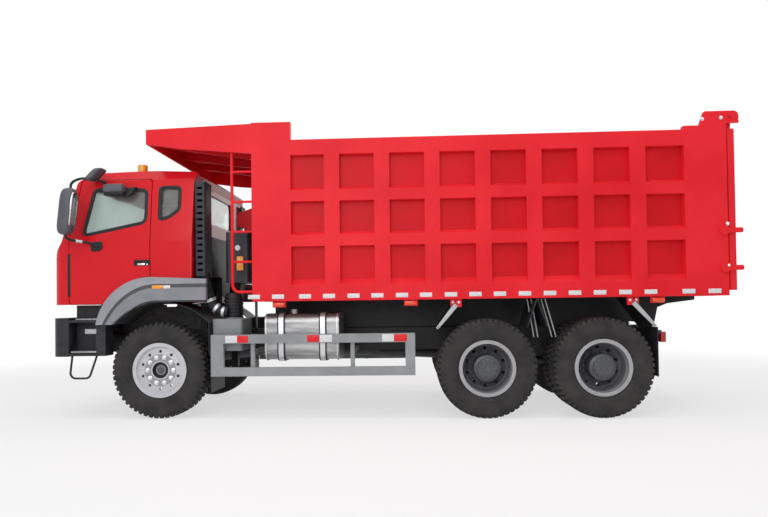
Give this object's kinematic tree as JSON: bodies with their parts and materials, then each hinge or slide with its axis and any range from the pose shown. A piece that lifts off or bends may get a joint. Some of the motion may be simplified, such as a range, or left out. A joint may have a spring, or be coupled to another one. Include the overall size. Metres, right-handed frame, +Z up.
{
  "type": "three-axle dump truck",
  "caption": "Three-axle dump truck: cab over the engine, ribbed steel tipping bed with a guard over the cab, top-hung tailgate, front hoist, twin rear wheels.",
  "frame": {"origin": "on the ground, below the middle of the whole truck", "axes": "+X from the cab to the tailgate, +Y to the right of someone who sits in the cab, +Z up"},
  "size_m": [8.563, 3.04, 3.705],
  "materials": {
    "body_red": "gloss paint",
    "chassis_black": "satin paint",
    "trim_black": "matte moulded",
    "arch_grey": "satin moulded",
    "guard_grey": "satin paint",
    "tyre": "matte",
    "rim_silver": "satin silver",
    "tank_metal": "brushed",
    "glass": "clear",
    "interior_grey": "woven",
    "lamp_clear": "clear",
    "hoist_steel": "polished",
    "cast_grey": "rough"
  },
  "bodies": {
    "root": {"air_filter": "guard_grey", "battery_box": "trim_black", "cab_glass": "glass", "cab_mounts": "chassis_black", "cab_shell": "body_red", "dashboard": "interior_grey", "drive_shafts": "cast_grey", "engine_block": "cast_grey", "entry_steps": "trim_black", "exhaust_and_air": "chassis_black", "frame_rails": "chassis_black", "front_axle": "chassis_black", "front_bumper": "trim_black", "fuel_tank": "tank_metal", "intake_stack": "trim_black", "lamps": "lamp_clear", "leaf_springs": "chassis_black", "mudguards": "trim_black", "oil_tank": "chassis_black", "rear_axles": "chassis_black", "seats": "interior_grey", "side_guard_left": "guard_grey", "side_guard_right": "guard_grey", "wheel_arch_trims": "rim_silver"},
    "bed": {"bed_box": "body_red", "bed_ribs": "body_red", "canopy": "body_red", "ladder": "body_red", "bed_subframe": "chassis_black", "rear_mudguards": "trim_black", "gate_hardware": "body_red", "hoist_ears": "body_red"},
    "tailgate": {"tailgate": "body_red"},
    "front_flap": {"front_flap": "body_red"},
    "hoist_barrel": {"hoist_barrel": "chassis_black"},
    "hoist_stage_1": {"hoist_stage_1": "hoist_steel"},
    "hoist_stage_2": {"hoist_stage_2": "hoist_steel"},
    "hoist_stage_3": {"hoist_stage_3": "hoist_steel"},
    "hoist_stage_4": {"hoist_stage_4": "hoist_steel"},
    "door_left": {"door_left": "body_red", "door_glass_left": "glass", "mirror_left": "trim_black"},
    "steer_left": {"knuckle_left": "chassis_black"},
    "front_wheel_left": {"front_tyre_left": "tyre", "front_rim_left": "rim_silver"},
    "rear1_wheel_left": {"rear1_left_tyres": "tyre", "rear1_left_rims": "rim_silver"},
    "rear2_wheel_left": {"rear2_left_tyres": "tyre", "rear2_left_rims": "rim_silver"},
    "door_right": {"door_right": "body_red", "door_glass_right": "glass", "mirror_right": "trim_black"},
    "steer_right": {"knuckle_right": "chassis_black"},
    "front_wheel_right": {"front_tyre_right": "tyre", "front_rim_right": "rim_silver"},
    "rear1_wheel_right": {"rear1_right_tyres": "tyre", "rear1_right_rims": "rim_silver"},
    "rear2_wheel_right": {"rear2_right_tyres": "tyre", "rear2_right_rims": "rim_silver"}
  },
  "joints": [
    {"name": "steer_left", "type": "hinge", "parent": "root", "child": "steer_left", "pos_m": [-2.8955, -0.88, 0.613], "axis": [0, 0, 1], "range_deg": [-35, 35]},
    {"name": "steer_right", "type": "hinge", "parent": "root", "child": "steer_right", "pos_m": [-2.8955, 0.88, 0.613], "axis": [0, 0, 1], "range_deg": [-35, 35]},
    {"name": "front_wheel_left_spin", "type": "hinge", "parent": "steer_left", "child": "front_wheel_left", "pos_m": [-2.8955, -1.018, 0.613], "axis": [0, 1, 0], "continuous": true},
    {"name": "rear1_wheel_left_spin", "type": "hinge", "parent": "root", "child": "rear1_wheel_left", "pos_m": [1.2295, -1.0975, 0.613], "axis": [0, 1, 0], "continuous": true},
    {"name": "rear2_wheel_left_spin", "type": "hinge", "parent": "root", "child": "rear2_wheel_left", "pos_m": [2.6295, -1.0975, 0.613], "axis": [0, 1, 0], "continuous": true},
    {"name": "front_wheel_right_spin", "type": "hinge", "parent": "steer_right", "child": "front_wheel_right", "pos_m": [-2.8955, 1.018, 0.613], "axis": [0, 1, 0], "continuous": true},
    {"name": "rear1_wheel_right_spin", "type": "hinge", "parent": "root", "child": "rear1_wheel_right", "pos_m": [1.2295, 1.0975, 0.613], "axis": [0, 1, 0], "continuous": true},
    {"name": "rear2_wheel_right_spin", "type": "hinge", "parent": "root", "child": "rear2_wheel_right", "pos_m": [2.6295, 1.0975, 0.613], "axis": [0, 1, 0], "continuous": true},
    {"name": "door_left_swing", "type": "hinge", "parent": "root", "child": "door_left", "pos_m": [-4.0502, -1.1697, 1.8], "axis": [0, 0, -1], "range_deg": [0, 65]},
    {"name": "door_right_swing", "type": "hinge", "parent": "root", "child": "door_right", "pos_m": [-4.0502, 1.1697, 1.8], "axis": [0, 0, 1], "range_deg": [0, 65]},
    {"name": "front_flap_lift", "type": "hinge", "parent": "root", "child": "front_flap", "pos_m": [-4.22165, 0, 2.13], "axis": [0, 1, 0], "range_deg": [0, 75]},
    {"name": "bed_tip", "type": "hinge", "parent": "root", "child": "bed", "pos_m": [3.4445, 0, 1.16], "axis": [0, 1, 0], "range_deg": [0, 45]},
    {"name": "tailgate_swing", "type": "hinge", "parent": "bed", "child": "tailgate", "pos_m": [4.1645, 0, 3.6], "axis": [0, -1, 0], "range_deg": [0, 60]},
    {"name": "hoist_lean", "type": "hinge", "parent": "root", "child": "hoist_barrel", "pos_m": [-2.29476, 0, 1.21], "axis": [0, 1, 0], "range_deg": [0, 22.5]},
    {"name": "hoist_slide_1", "type": "slide", "parent": "hoist_barrel", "child": "hoist_stage_1", "axis": [0.1361, 0, 0.9907], "range_m": [0, 1.0741]},
    {"name": "hoist_slide_2", "type": "slide", "parent": "hoist_stage_1", "child": "hoist_stage_2", "axis": [0.1361, 0, 0.9907], "range_m": [0, 1.0741]},
    {"name": "hoist_slide_3", "type": "slide", "parent": "hoist_stage_2", "child": "hoist_stage_3", "axis": [0.1361, 0, 0.9907], "range_m": [0, 1.0741]},
    {"name": "hoist_slide_4", "type": "slide", "parent": "hoist_stage_3", "child": "hoist_stage_4", "axis": [0.1361, 0, 0.9907], "range_m": [0, 1.0741]}
  ],
  "couplings": [
    {"joint": "steer_right", "follows": "steer_left", "ratio": 1},
    {"joint": "hoist_lean", "follows": "bed_tip", "ratio": 0.5},
    {"joint": "hoist_slide_1", "follows": "bed_tip", "m_per_rad": 1.3662},
    {"joint": "hoist_slide_2", "follows": "bed_tip", "m_per_rad": 1.3662},
    {"joint": "hoist_slide_3", "follows": "bed_tip", "m_per_rad": 1.3662},
    {"joint": "hoist_slide_4", "follows": "bed_tip", "m_per_rad": 1.3662}
  ]
}
